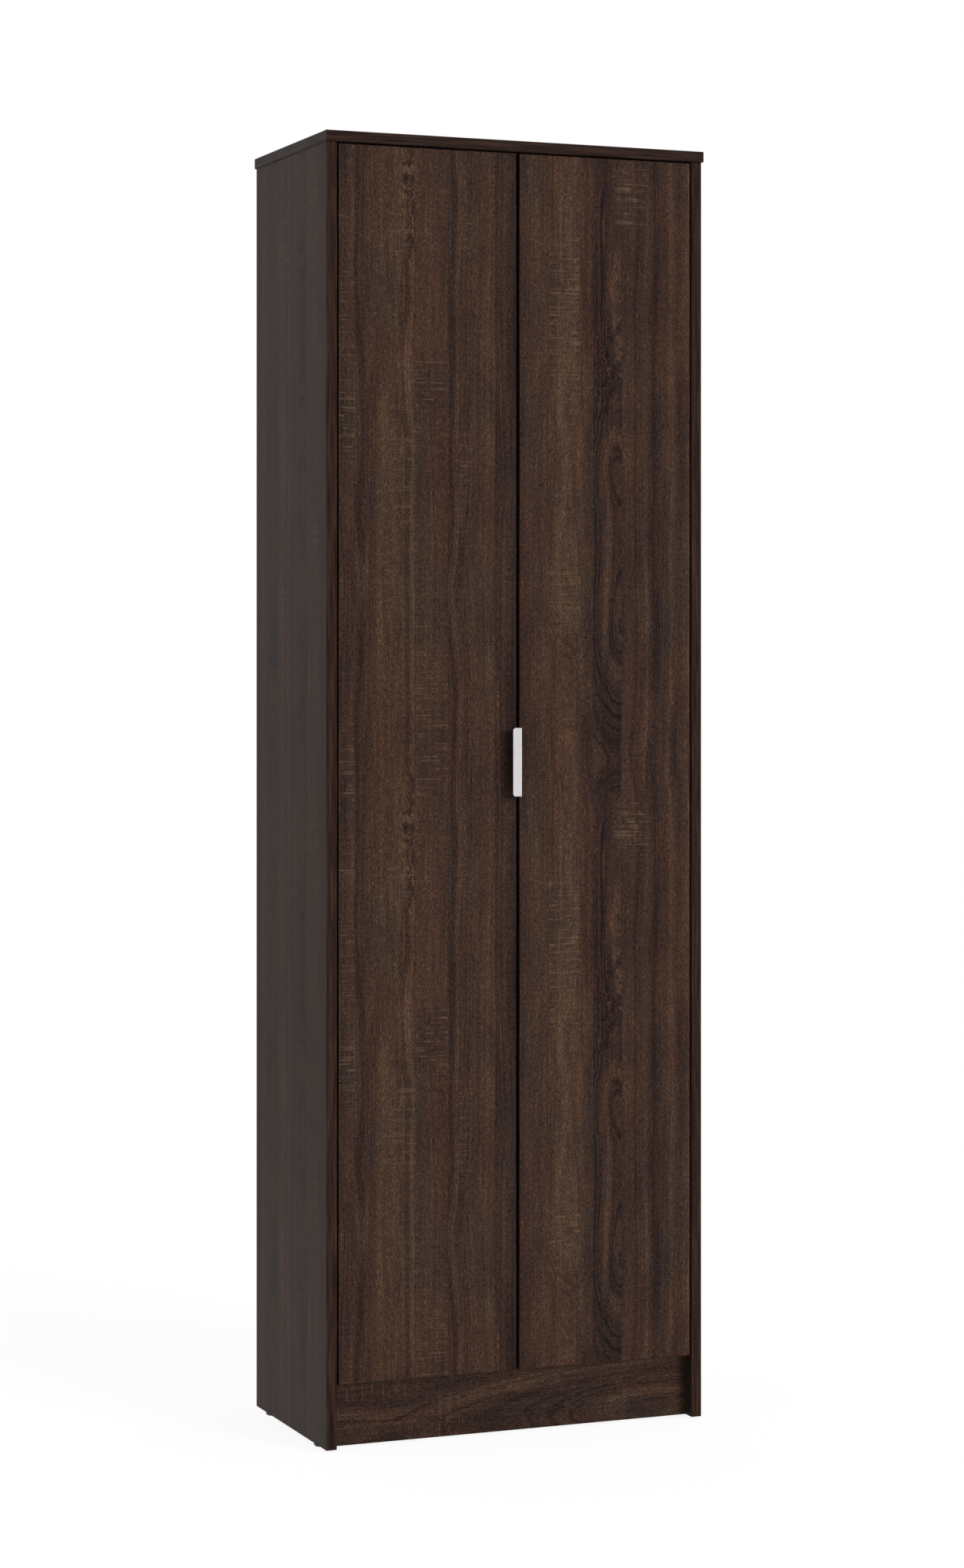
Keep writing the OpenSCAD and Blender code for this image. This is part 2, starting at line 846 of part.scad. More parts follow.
// Bar along a list of plan points, with mitred corners and a half-width at each point
function side_step(a, b) = [a[1] - b[1], b[0] - a[0]] / norm(b - a);
function mitre(p, i) =
    i == 0 ? side_step(p[0], p[1]) :
    i == len(p) - 1 ? side_step(p[i - 1], p[i]) :
    let (a = side_step(p[i - 1], p[i]), b = side_step(p[i], p[i + 1])) (a + b) / (1 + a * b);

module bar(p, half) {
    last = len(p) - 1;
    polygon(concat(
        [for (i = [0 : last]) p[i] - half[i] * mitre(p, i)],
        [for (i = [0 : last]) p[last - i] + half[last - i] * mitre(p, last - i)]
    ));
}

// Extrudes a plan between two heights, on both sides of the middle plane
module both_sides(z_in, z_out) {
    for (m = [0, 1])
        mirror([0, 0, m])
            translate([0, 0, z_in])
                linear_extrude(z_out - z_in) children();
}

module outer_link() {
    knee = from_cup([-7, -2]);
    shin = from_cup([-0.5, 4]);
    web_a = shin + 0.55 * (outer_arm_pivot - shin);
    web_b = shin + 0.8 * (outer_arm_pivot - shin);
    both_sides(link_in, link_out)
        difference() {
            union() {
                translate(outer_cup_pivot) circle(outer_cup_pin_r + small_eye_wall);
                bar([outer_cup_pivot, knee, shin, outer_arm_pivot], [1.1, 1.3, 1.9, 2.3]);
                translate(outer_arm_pivot) circle(outer_arm_pin_r + large_eye_wall);
            }
            translate(outer_cup_pivot) circle(outer_cup_pin_r + pivot_clear);
            translate(outer_arm_pivot) circle(outer_arm_pin_r + pivot_clear);
        }
    translate([0, 0, -link_in])
        linear_extrude(2 * link_in) bar([web_a, web_b], [sheet_t / 2, sheet_t / 2]);
}

module inner_link() {
    hook = [for (p = [[-10, -8.2], [-8, -9.2], [3.6, -9.2], [6.2, -6], [6.2, 1]]) from_cup(p)];
    translate([0, 0, -inner_half])
        linear_extrude(2 * inner_half)
            difference() {
                union() {
                    translate(inner_cup_pivot) circle(inner_cup_pin_r + eye_play + 1);
                    bar(concat([inner_cup_pivot], hook, [inner_arm_pivot]),
                        [0.75, 0.75, 0.75, 0.75, 0.75, 0.95, 1.1]);
                    translate(inner_arm_pivot) circle(inner_arm_pin_r + small_eye_wall);
                }
                translate(inner_cup_pivot) circle(inner_cup_pin_r + eye_play);
                translate(inner_arm_pivot) circle(inner_arm_pin_r + pivot_clear);
            }
}

module hinge_arm() {
    web_mid = arm_web_x + sheet_t / 2;
    ear_tip = ear_foot + 0.12 * (ear_foot - inner_arm_pivot);
    both_sides(ear_in, ear_out)
        difference() {
            union() {
                translate(inner_arm_pivot) circle(ear_half);
                bar([inner_arm_pivot, ear_tip], [ear_half - 0.3, ear_half - 0.1]);
            }
            translate(inner_arm_pivot) circle(inner_arm_pin_r + hole_clear);
        }
    translate([0, 0, -arm_out])
        linear_extrude(2 * arm_out)
            bar([ear_foot, [web_mid, arm_start]], [sheet_t / 2, sheet_t / 2]);
    both_sides(arm_in, arm_out)
        difference() {
            union() {
                translate([arm_web_x - cheek_deep, rail_start])
                    square([cheek_deep + sheet_t, arm_end - rail_start]);
                polygon([[arm_web_x, rail_start], [arm_web_x, arm_start], [web_mid, arm_start],
                    outer_arm_pivot - eye_edge, outer_arm_pivot + eye_edge,
                    [arm_web_x + sheet_t, arm_end]]);
                translate(outer_arm_pivot) circle(outer_arm_pin_r + large_eye_wall);
            }
            translate(outer_arm_pivot) circle(outer_arm_pin_r + hole_clear);
        }
    difference() {
        translate([arm_web_x, arm_start, -arm_out])
            cube([sheet_t, arm_end - arm_start, 2 * arm_out]);
        for (y = arm_screw_ys)
            translate([arm_web_x - 1, y, 0]) x_rod(arm_screw_r + hole_clear, sheet_t + 2);
    }
}

module hinge_plate() {
    difference() {
        union() {
            translate([0, plate_y - plate_w / 2, -plate_l / 2])
                cube([plate_t, plate_w, plate_l]);
            translate([0, rail_start, hole_clear - arm_in])
                cube([arm_web_x, rail_end - rail_start, 2 * (arm_in - hole_clear)]);
        }
        for (s = [-1, 1]) {
            translate([-1, plate_y, s * plate_screw_pitch / 2]) x_rod(screw_r + hole_clear, plate_t + 2);
            translate([plate_t - screw_head_r, plate_y, s * plate_screw_pitch / 2])
                rotate([0, 90, 0])
                    cylinder(r1 = hole_clear, r2 = 2 * screw_head_r + hole_clear, h = 2 * screw_head_r);
        }
        for (y = arm_screw_ys)
            translate([arm_web_x - arm_screw_l - hole_floor, y, 0])
                x_rod(arm_screw_r + hole_clear, arm_screw_l + 2 * hole_floor);
    }
}

// Pan-head screw: the head sits on z = 0 and the shank points to -z
module pan_screw(r, l) {
    difference() {
        rotate_extrude()
            polygon([[0, -l], [r, screw_point - l], [r, 0], [pan_head_r, 0],
                [pan_head_r, pan_head_h / 2], [pan_head_r - pan_head_h / 2, pan_head_h],
                [0, pan_head_h]]);
        driver_slots(pan_head_r, pan_head_h);
    }
}

// Outline of the cup's flange, in x and z from the cup's middle
module flange_outline() {
    r = flange_corner_r;
    x0 = flange_x - flange_w / 2;
    translate([x0 + r, -flange_l / 2]) square([flange_w - 2 * r, flange_l]);
    translate([x0, r - flange_l / 2]) square([flange_w, flange_l - 2 * r]);
    for (x = [x0 + r, x0 + flange_w - r], z = [r - flange_l / 2, flange_l / 2 - r])
        translate([x, z]) circle(r);
    intersection() {
        circle(cup_r + flange_bulge);
        translate([0, -cup_d]) square([cup_d, 2 * cup_d]);
    }
}

module hinge_cup() {
    difference() {
        union() {
            translate([cup_x, door_back - cup_deep, 0]) y_rod(cup_r, cup_deep);
            translate([cup_x, door_back + flange_t, 0])
                rotate([90, 0, 0])
                    linear_extrude(flange_t) flange_outline();
            intersection() {
                translate([cup_x, door_back - 1, 0]) y_rod(cup_r, cup_ear_h + 1);
                translate([outer_cup_pivot[0] - cup_ear_w / 2, door_back - 1, -cup_r])
                    cube([cup_ear_w, cup_ear_h + 1, cup_d]);
            }
        }
        translate([cup_x, door_back - cup_deep + cup_wall, 0]) y_rod(cup_bore_r, cup_deep + 2);
        translate([outer_cup_pivot[0], outer_cup_pivot[1], -cup_r])
            cylinder(r = outer_cup_pin_r + hole_clear, h = cup_d);
        translate([inner_cup_pivot[0], inner_cup_pivot[1], -cup_r])
            cylinder(r = inner_cup_pin_r + hole_clear, h = cup_d);
        for (s = [-1, 1])
            translate([cup_x + flange_x, door_back - 1, s * cup_screw_pitch / 2])
                y_rod(screw_r + hole_clear, flange_t + 2);
    }
}

// Two stubs for the outer link and one long pin for the inner link, flush with the cup
module cup_pins() {
    intersection() {
        union() {
            for (m = [0, 1])
                mirror([0, 0, m])
                    translate([outer_cup_pivot[0], outer_cup_pivot[1], link_in])
                        cylinder(r = outer_cup_pin_r, h = cup_r);
            translate([inner_cup_pivot[0], inner_cup_pivot[1], -cup_r])
                cylinder(r = inner_cup_pin_r, h = cup_d);
        }
        translate([cup_x, door_back - cup_deep, 0]) y_rod(cup_r, 2 * cup_deep);
    }
}

module arm_pins() {
    translate([outer_arm_pivot[0], outer_arm_pivot[1], -arm_out])
        cylinder(r = outer_arm_pin_r, h = 2 * arm_out);
    translate([inner_arm_pivot[0], inner_arm_pivot[1], -ear_out])
        cylinder(r = inner_arm_pin_r, h = 2 * ear_out);
}

// Repeats a hinge piece at the four hinges of one side
module at_hinges(side) {
    at_side(side)
        for (z = hinge_zs)
            translate([0, 0, z]) children();
}

module hinge_plate_holes() {
    for (z = hinge_zs, s = [-1, 1])
        translate([plate_t - plate_screw_l - hole_floor, plate_y, z + s * plate_screw_pitch / 2])
            x_rod(screw_r + hole_clear, plate_screw_l + hole_floor);
}

module hinge_cup_pockets() {
    for (z = hinge_zs) {
        translate([cup_x, door_back - cup_deep - cup_fit, z])
            y_rod(cup_r + cup_fit, cup_deep + cup_fit + 1);
        for (s = [-1, 1])
            translate([cup_x + flange_x, door_back - cup_screw_l, z + s * cup_screw_pitch / 2])
                y_rod(screw_r + hole_clear, cup_screw_l + 1);
    }
}

module hinge_cups(side) {
    color("#bdbcb8") at_hinges(side) hinge_cup();
}

module hinge_cup_pins(side) {
    color("#a5a6a8") at_hinges(side) cup_pins();
}

module hinge_cup_screws(side) {
    color("#b9a15c")
    at_hinges(side)
        for (s = [-1, 1])
            translate([cup_x + flange_x, door_back + flange_t, s * cup_screw_pitch / 2])
                rotate([-90, 0, 0]) pan_screw(screw_r, cup_screw_l);
}

module outer_links(side) {
    color("#bdbcb8") at_hinges(side) outer_link();
}

module inner_links(side) {
    color("#b3b2ae") at_hinges(side) inner_link();
}

module hinge_arms(side) {
    color("#c2c1bd") at_hinges(side) hinge_arm();
}

module hinge_arm_pins(side) {
    color("#a5a6a8") at_hinges(side) arm_pins();
}

module hinge_plates(side) {
    color("#b7b6b2") at_hinges(side) hinge_plate();
}

module hinge_plate_screws(side) {
    color("#b9a15c")
    at_hinges(side)
        for (s = [-1, 1])
            translate([plate_t, plate_y, s * plate_screw_pitch / 2])
                rotate([0, 90, 0]) countersunk_screw(screw_r, screw_head_r, plate_screw_l);
}

module hinge_arm_screws(side) {
    color("#b9a15c")
    at_hinges(side)
        for (y = arm_screw_ys)
            translate([arm_web_x + sheet_t, y, 0])
                rotate([0, 90, 0]) pan_screw(arm_screw_r, arm_screw_l);
}

left_side_panel();
right_side_panel();
top_panel();
bottom_panel();
plinth_board();
plinth_blocks();
plinth_screws();
middle_shelf();
shelf_1();
shelf_2();
shelf_3();
shelf_4();
shelf_5();
shelf_6();
shelf_pins();
back_panel_left();
back_panel_right();
back_joint_strip();
back_nails();
wood_dowels();
cam_bolts();
cam_locks();
glides();
top_edge_bands();
side_edge_bands();
shelf_edge_bands();
door_bumpers();
left_door();
right_door();
left_door_edge_bands();
right_door_edge_bands();
door_pull();
door_pull_screws();
hinge_cups("left");  // left_hinge_cups
hinge_cup_pins("left");  // left_hinge_cup_pins
hinge_cup_screws("left");  // left_hinge_cup_screws
outer_links("left");  // left_outer_links
inner_links("left");  // left_inner_links
hinge_arms("left");  // left_hinge_arms
hinge_arm_pins("left");  // left_hinge_arm_pins
hinge_plates("left");  // left_hinge_plates
hinge_plate_screws("left");  // left_hinge_plate_screws
hinge_arm_screws("left");  // left_hinge_arm_screws
hinge_cups("right");  // right_hinge_cups
hinge_cup_pins("right");  // right_hinge_cup_pins
hinge_cup_screws("right");  // right_hinge_cup_screws
outer_links("right");  // right_outer_links
inner_links("right");  // right_inner_links
hinge_arms("right");  // right_hinge_arms
hinge_arm_pins("right");  // right_hinge_arm_pins
hinge_plates("right");  // right_hinge_plates
hinge_plate_screws("right");  // right_hinge_plate_screws
hinge_arm_screws("right");  // right_hinge_arm_screws
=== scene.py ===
import math

import bpy
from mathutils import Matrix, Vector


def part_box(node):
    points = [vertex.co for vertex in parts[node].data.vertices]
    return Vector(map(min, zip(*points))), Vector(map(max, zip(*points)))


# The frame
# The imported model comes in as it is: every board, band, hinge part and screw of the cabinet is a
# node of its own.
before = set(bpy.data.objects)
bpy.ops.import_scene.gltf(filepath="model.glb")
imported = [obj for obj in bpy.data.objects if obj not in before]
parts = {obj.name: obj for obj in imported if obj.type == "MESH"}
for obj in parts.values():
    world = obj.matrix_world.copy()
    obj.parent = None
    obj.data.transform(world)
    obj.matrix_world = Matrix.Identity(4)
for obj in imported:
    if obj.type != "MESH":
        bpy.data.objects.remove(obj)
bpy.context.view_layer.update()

# The camera
# The photograph is a level view from the front left with upright lines kept upright, taken with a
# long lens from 5.2 m away. The lens is shifted down, because it stands above the middle.
camera_data = bpy.data.cameras.new("long_lens")
camera_data.sensor_fit = "AUTO"
camera_data.sensor_width = 36
camera_data.lens = 79.35
camera_data.shift_y = -0.0878
camera_data.clip_end = 100
camera = bpy.data.objects.new("camera", camera_data)
bpy.context.scene.collection.objects.link(camera)
camera.location = (-1.9571, -4.8304, 1.1586)
camera.rotation_euler = (math.radians(90), 0, math.radians(-22.1))
bpy.context.scene.camera = camera


# The doors
# Two doors of melamine-faced chipboard, 16 mm thick and inset between the sides. Their paper is
# printed as upright sawn planks of dark oak, each with its own tone, and repeats every 940 mm.
def linear(code):
    """Linear colour of an sRGB hex code."""
    shares = [int(code[i:i + 2], 16) / 255 for i in (1, 3, 5)]
    return [s / 12.92 if s <= 0.04045 else ((s + 0.055) / 1.055) ** 2.4 for s in shares] + [1.0]


def feed(tree, node, inputs):
    """Fills a node's inputs, each with a value, a socket or another node's first output."""
    for key, value in inputs.items():
        source = value.outputs[0] if isinstance(value, bpy.types.Node) else value
        if isinstance(source, bpy.types.NodeSocket):
            tree.links.new(source, node.inputs[key])
        else:
            node.inputs[key].default_value = source


def add(tree, kind, inputs=None, stops=None, **settings):
    """Adds a node with its settings and inputs; stops are a colour ramp's places and colours."""
    made = tree.nodes.new(kind)
    for name, value in settings.items():
        setattr(made, name, value)
    feed(tree, made, inputs or {})
    if stops:
        elements = made.color_ramp.elements
        for place, colour in stops[1:-1]:
            elements.new(place).color = colour
        elements[0].position, elements[0].color = stops[0]
        elements[-1].position, elements[-1].color = stops[-1]
    return made


def empty_tree(owner):
    """The cleared node tree of a material or of the world."""
    owner.use_nodes = True
    owner.node_tree.nodes.clear()
    return owner.node_tree


def start_material(name):
    """A material, its nodes, its surface shader and the place on the cabinet, in metres."""
    material = bpy.data.materials.new(name)
    tree = empty_tree(material)
    shader = add(tree, "ShaderNodeBsdfPrincipled")
    add(tree, "ShaderNodeOutputMaterial", {"Surface": shader})
    place = add(tree, "ShaderNodeTexCoord").outputs["Object"]
    return material, tree, shader, place


def dress(material, *names):
    """Puts one material on nodes of the CAD model."""
    for name in names:
        parts[name].data.materials.clear()
        parts[name].data.materials.append(material)


# millimetres in a metre
MM = 1000

# lengths on the print, in mm: its repeat, how sharply planks join, how far their edges and rings
# wander, and the spans that a pith's place, its depth and a shift take up in the colour ramps
PRINT_REPEAT = 940.5
PRINT_RADIUS = PRINT_REPEAT / (2 * math.pi)
PLANK_JOINT = 0.4
EDGE_WANDER = 1.5
RING_WANDER = 16.0
RING_WAVER = 3.0
RING_CURL = 130.0
PITH_RISE = 36.0
LOWEST_PITH = -200
PITH_SPAN = 800
DEEPEST_PITH = 100
SHIFT_SPAN = 1000

# the step in tone that gives a plank patterns of its own, the least figure that curls, the power
# that keeps a curl near its branch, and how strongly saw marks show
TONE_STEP = 0.05
LEAST_CURLED = 0.92
CURL_POWER = 14.0
SAW_STRENGTH = 0.65

# melamine's IOR, and a sheen kept low, because the photograph shows hardly any
BOARD_IOR = 1.5
BOARD_SHEEN = 0.052


def grain(tree, vector, wide, long, detail, seed):
    """A cloudy pattern whose patches are so many mm, or so big a step in tone, wide and so many
    mm long."""
    scaled = add(tree, "ShaderNodeVectorMath",
                 {0: vector, 1: (1 / wide, 1 / long, 1 / long), 2: (seed, seed, 0)},
                 operation="MULTIPLY_ADD")
    return add(tree, "ShaderNodeTexNoise",
               {"Vector": scaled, "Scale": 1.0, "Detail": detail, "Roughness": 0.55})


def summed(tree, first, *steps):
    """The first value, plus how far each later one is from a half, times its factor."""
    total = first
    for value, factor in steps:
        centred = add(tree, "ShaderNodeMath", {0: value, 1: 0.5}, operation="SUBTRACT")
        total = add(tree, "ShaderNodeMath", {0: centred, 1: factor, 2: total},
                    operation="MULTIPLY_ADD")
    return total


def lay_print(tree, place, across, along, start, top):
    """Where a place on a board is on the print: mm across it, mm down it, and the turn and point
    of a ring that its length is bent into, so that its patterns close on themselves."""
    mm = add(tree, "ShaderNodeVectorMath", {0: place, 1: (MM, MM, MM)}, operation="MULTIPLY")
    axes = add(tree, "ShaderNodeSeparateXYZ", {0: mm}).outputs
    side = add(tree, "ShaderNodeMath", {0: axes[across], 1: start}, operation="SUBTRACT")
    down = add(tree, "ShaderNodeMath", {0: top, 1: axes[along]}, operation="SUBTRACT")
    turn = add(tree, "ShaderNodeMath", {0: down, 1: 1 / PRINT_RADIUS}, operation="MULTIPLY")
    ring = [add(tree, "ShaderNodeMath", {0: turn}, operation=way) for way in ("COSINE", "SINE")]
    ring = [add(tree, "ShaderNodeMath", {0: part, 1: PRINT_RADIUS}, operation="MULTIPLY")
            for part in ring]
    return side, down, turn, ring


def plank_at(tree, share, width, planks):
    """The tone, place of the pith, shift and figure of the plank at a share of the width."""
    plank = add(tree, "ShaderNodeValToRGB", {0: share}, stops=[
        (edge / width, (tone, (pith - LOWEST_PITH) / PITH_SPAN, shift / SHIFT_SPAN, figured))
        for left, right, tone, pith, figured, shift in planks
        for edge in (left, right - PLANK_JOINT)])
    tone, pith, shift = add(tree, "ShaderNodeSeparateColor", {0: plank}).outputs
    pith = add(tree, "ShaderNodeMath", {0: pith, 1: PITH_SPAN, 2: LOWEST_PITH},
               operation="MULTIPLY_ADD")
    return tone, pith, shift, plank.outputs["Alpha"]


def pith_depth(tree, shift, repeat, depths):
    """How many mm deep the pith lies at a place down the print, with its figure shifted up."""
    down_plank = add(tree, "ShaderNodeMath", {0: shift, 1: SHIFT_SPAN / PRINT_REPEAT, 2: repeat},
                     operation="MULTIPLY_ADD")
    down_plank = add(tree, "ShaderNodeMath", {0: down_plank}, operation="FRACT")
    deep = add(tree, "ShaderNodeValToRGB", {0: down_plank},
               stops=[(place / PRINT_REPEAT, [depth / DEEPEST_PITH] * 3 + [1])
                      for place, depth in depths])
    deep.color_ramp.interpolation = "B_SPLINE"
    return add(tree, "ShaderNodeMath", {0: deep, 1: DEEPEST_PITH}, operation="MULTIPLY")


def curling(tree, turn, curl, figured):
    """How much the rings curl round a branch that grew at the place curl: only in the most figured
    planks, and with a cosine wave's power fading to a half 66 mm from the branch."""
    near = add(tree, "ShaderNodeMath", {0: turn, 1: curl / PRINT_RADIUS}, operation="SUBTRACT")
    near = add(tree, "ShaderNodeMath", {0: near}, operation="COSINE")
    near = add(tree, "ShaderNodeMath", {0: near, 1: 0.5, 2: 0.5}, operation="MULTIPLY_ADD")
    near = add(tree, "ShaderNodeMath", {0: near, 1: CURL_POWER}, operation="POWER")
    most_figured = add(tree, "ShaderNodeMapRange",
                       {"Value": figured, "From Min": LEAST_CURLED, "From Max": 1.0})
    return add(tree, "ShaderNodeMath", {0: near, 1: most_figured}, operation="MULTIPLY")


def growth_rings(tree, from_pith, deep):
    """Rings about 3 mm apart and broader bands 17 mm apart, by the distance from the pith."""
    place = add(tree, "ShaderNodeCombineXYZ", {0: from_pith, 1: deep})
    distance = add(tree, "ShaderNodeVectorMath", {0: place}, operation="LENGTH").outputs["Value"]
    return [add(tree, "ShaderNodeTexNoise", {"W": distance, "Scale": per_mm, "Detail": detail},
                noise_dimensions="1D")
            for per_mm, detail in ((0.34, 2.0), (0.06, 1.0))]


def saw_marks(tree, side, down, share, repeat, width, lanes, strengths):
    """Scratches square to the grain, up to 70 mm long and 3 mm apart, that break off and start
    again, wherever lanes and strengths put a patch of them."""
    flat = add(tree, "ShaderNodeCombineXYZ", {0: side, 1: down})
    clouds = []
    for wide, long, detail, low, high in ((70, 3, 0.0, 0.53, 0.66), (12, 16, 2.0, 0.4, 0.6)):
        scaled = add(tree, "ShaderNodeVectorMath", {0: flat, 1: (1 / wide, 1 / long, 1)},
                     operation="MULTIPLY")
        cloud = add(tree, "ShaderNodeTexNoise", {"Vector": scaled, "Scale": 1.0, "Detail": detail})
        clouds.append(add(tree, "ShaderNodeMapRange",
                          {"Value": cloud, "From Min": low, "From Max": high}))
    scratches, unbroken = clouds
    marks = add(tree, "ShaderNodeMath", {0: scratches, 1: unbroken}, operation="MULTIPLY")
    lane = add(tree, "ShaderNodeValToRGB", {0: share},
               stops=[(place / width, (*patterns, 1)) for place, patterns in lanes]
               + [(1.0, (0, 0, 0, 1))])
    lane.color_ramp.interpolation = "CONSTANT"
    strength = add(tree, "ShaderNodeValToRGB", {0: repeat},
                   stops=[(place / PRINT_REPEAT, (*patterns, 1)) for place, patterns in strengths])
    patch = add(tree, "ShaderNodeVectorMath", {0: lane, 1: strength},
                operation="DOT_PRODUCT").outputs["Value"]
    marks = add(tree, "ShaderNodeMath", {0: marks, 1: patch}, operation="MULTIPLY")
    return add(tree, "ShaderNodeMath", {0: marks, 1: SAW_STRENGTH}, operation="MULTIPLY",
               use_clamp=True)


oak_shades = [(0.0, linear("#1b1313")), (0.25, linear("#2c201d")), (0.5, linear("#3c2b24")),
              (0.75, linear("#4c372a")), (1.0, linear("#634e3f"))]
sawn_oak = linear("#6a5343")


def oak_print(name, across, along, start, top, width, planks, depths, curl, lanes, strengths,
              contrast=0.9):
    """Melamine paper printed as sawn oak: deep brown planks with fine pores, a silky gloss and
    hardly any relief. Lengths are in mm.

    across and along are the axes across the grain and along it, start and top are where the print
    begins on them, and it runs on for its width and downwards. A plank is its two edges, its tone,
    the place of its pith, how figured it is and how far up its figure is shifted, and planks that
    leave a gap fade into each other. depths is how deep the pith lies at places down the length,
    and curl is where a branch grew. lanes says which of three patterns of saw marks shows from
    each place across, and strengths how strong each is at places down the length."""
    material, tree, shader, place = start_material(name)
    side, down, turn, ring = lay_print(tree, place, across, along, start, top)
    sheet = add(tree, "ShaderNodeCombineXYZ", {0: side, 1: ring[0], 2: ring[1]})
    repeat = add(tree, "ShaderNodeMath", {0: down, 1: PRINT_REPEAT}, operation="DIVIDE")
    repeat = add(tree, "ShaderNodeMath", {0: repeat}, operation="FRACT")

    # planks meet in slightly ragged lines, and their tone gives each one patterns of its own
    waver = grain(tree, sheet, 9, 70, 2, seed=8.4)
    ragged = grain(tree, sheet, 1.6, 14, 1, seed=1.7)
    edge = summed(tree, side, (ragged, EDGE_WANDER), (waver, EDGE_WANDER))
    share = add(tree, "ShaderNodeMath", {0: edge, 1: width}, operation="DIVIDE", use_clamp=True)
    tone, pith, shift, figured = plank_at(tree, share, width, planks)
    each_plank = add(tree, "ShaderNodeCombineXYZ", {0: tone, 1: ring[0], 2: ring[1]})

    # a plank's face shows the rings by their distance from its pith, which lies deeper or nearer
    # along it; fibres wander over a hand's width, and swirl where a branch grew
    wander = grain(tree, sheet, 55, 260, 2, seed=3.1)
    swirl = grain(tree, sheet, 30, 30, 2, seed=5.2)
    rise = grain(tree, each_plank, TONE_STEP, 240, 1, seed=6.6)
    curled = curling(tree, turn, curl, figured)
    swirl_size = add(tree, "ShaderNodeMath", {0: curled, 1: RING_CURL}, operation="MULTIPLY")
    bent = summed(tree, side, (wander, RING_WANDER), (waver, RING_WAVER), (swirl, swirl_size))
    from_pith = add(tree, "ShaderNodeMath", {0: bent, 1: pith}, operation="SUBTRACT")
    deep = pith_depth(tree, shift, repeat, depths)
    deep = summed(tree, deep, (rise, PITH_RISE), (swirl, swirl_size))
    fine_rings, broad_rings = growth_rings(tree, from_pith, deep)

    # streaks, blotches, a slow drift along each plank, and pores and specks, which are drawn about
    # twice as wide as those of real oak so that they show; rings show more in figured planks, and
    # most where they curl
    streaks = grain(tree, sheet, 2.6, 110, 3, seed=2.3)
    blotches = grain(tree, sheet, 22, 150, 2, seed=9.9)
    drift = grain(tree, each_plank, TONE_STEP, 130, 1, seed=14.2)
    pores = grain(tree, sheet, 0.9, 7.0, 2, seed=4.4)
    specks = grain(tree, sheet, 1.3, 2.6, 1, seed=7.7)
    lines = add(tree, "ShaderNodeMath", {0: figured, 1: 1.2, 2: 0.25}, operation="MULTIPLY_ADD")
    lines = add(tree, "ShaderNodeMath", {0: curled, 1: lines}, operation="ADD")
    lines = add(tree, "ShaderNodeMath", {0: lines, 1: contrast}, operation="MULTIPLY")
    shade = summed(tree, tone, (streaks, 0.55 * contrast), (blotches, 0.3 * contrast),
                   (drift, 0.45 * contrast), (pores, 1.15 * contrast), (specks, 1.45 * contrast),
                   (fine_rings, lines), (broad_rings, lines))

    # figured planks also show dark bands of late wood, and thin pale lines between the rings
    late_wood = add(tree, "ShaderNodeMapRange",
                    {"Value": fine_rings, "From Min": 0.52, "From Max": 0.6})
    pale_lines = add(tree, "ShaderNodeMath", {0: fine_rings, 1: 0.47, 2: 0.018},
                     operation="COMPARE")
    for wood, factor in ((late_wood, -0.24), (pale_lines, 0.16)):
        band = add(tree, "ShaderNodeMath", {0: wood, 1: figured}, operation="MULTIPLY")
        shade = add(tree, "ShaderNodeMath", {0: band, 1: factor * contrast, 2: shade},
                    operation="MULTIPLY_ADD")
    colour = add(tree, "ShaderNodeValToRGB", {0: shade}, stops=oak_shades)

    # from place to place the brown is a little redder or greyer, and about as light
    reddish = grain(tree, sheet, 30, 210, 1, seed=12.5)
    reddish = add(tree, "ShaderNodeMath", {0: reddish, 1: 0.5}, operation="SUBTRACT")
    tint = add(tree, "ShaderNodeVectorMath", {0: reddish, 1: (0.34, -0.06, -0.2), 2: (1, 1, 1)},
               operation="MULTIPLY_ADD")
    colour = add(tree, "ShaderNodeVectorMath", {0: colour, 1: tint}, operation="MULTIPLY")
    cut = saw_marks(tree, side, down, share, repeat, width, lanes, strengths)
    colour = add(tree, "ShaderNodeMix", {0: cut, 6: colour, 7: sawn_oak}, data_type="RGBA")

    # the press plate gives the paper a shallow pore texture and a slightly uneven gloss
    gloss = add(tree, "ShaderNodeMapRange", {"Value": pores, "To Min": 0.56, "To Max": 0.44})
    relief = add(tree, "ShaderNodeBump", {"Height": pores, "Strength": 0.25,
                                          "Distance": 0.2 / MM})
    feed(tree, shader, {"Base Color": colour.outputs[2], "Roughness": gloss, "Normal": relief,
                        "IOR": BOARD_IOR, "Specular IOR Level": BOARD_SHEEN})
    return material


door_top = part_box("left_door_edge_bands")[1].z * MM
left_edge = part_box("left_door_edge_bands")[0].x * MM
right_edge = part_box("right_door_edge_bands")[0].x * MM
door_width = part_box("left_door_edge_bands")[1].x * MM - left_edge

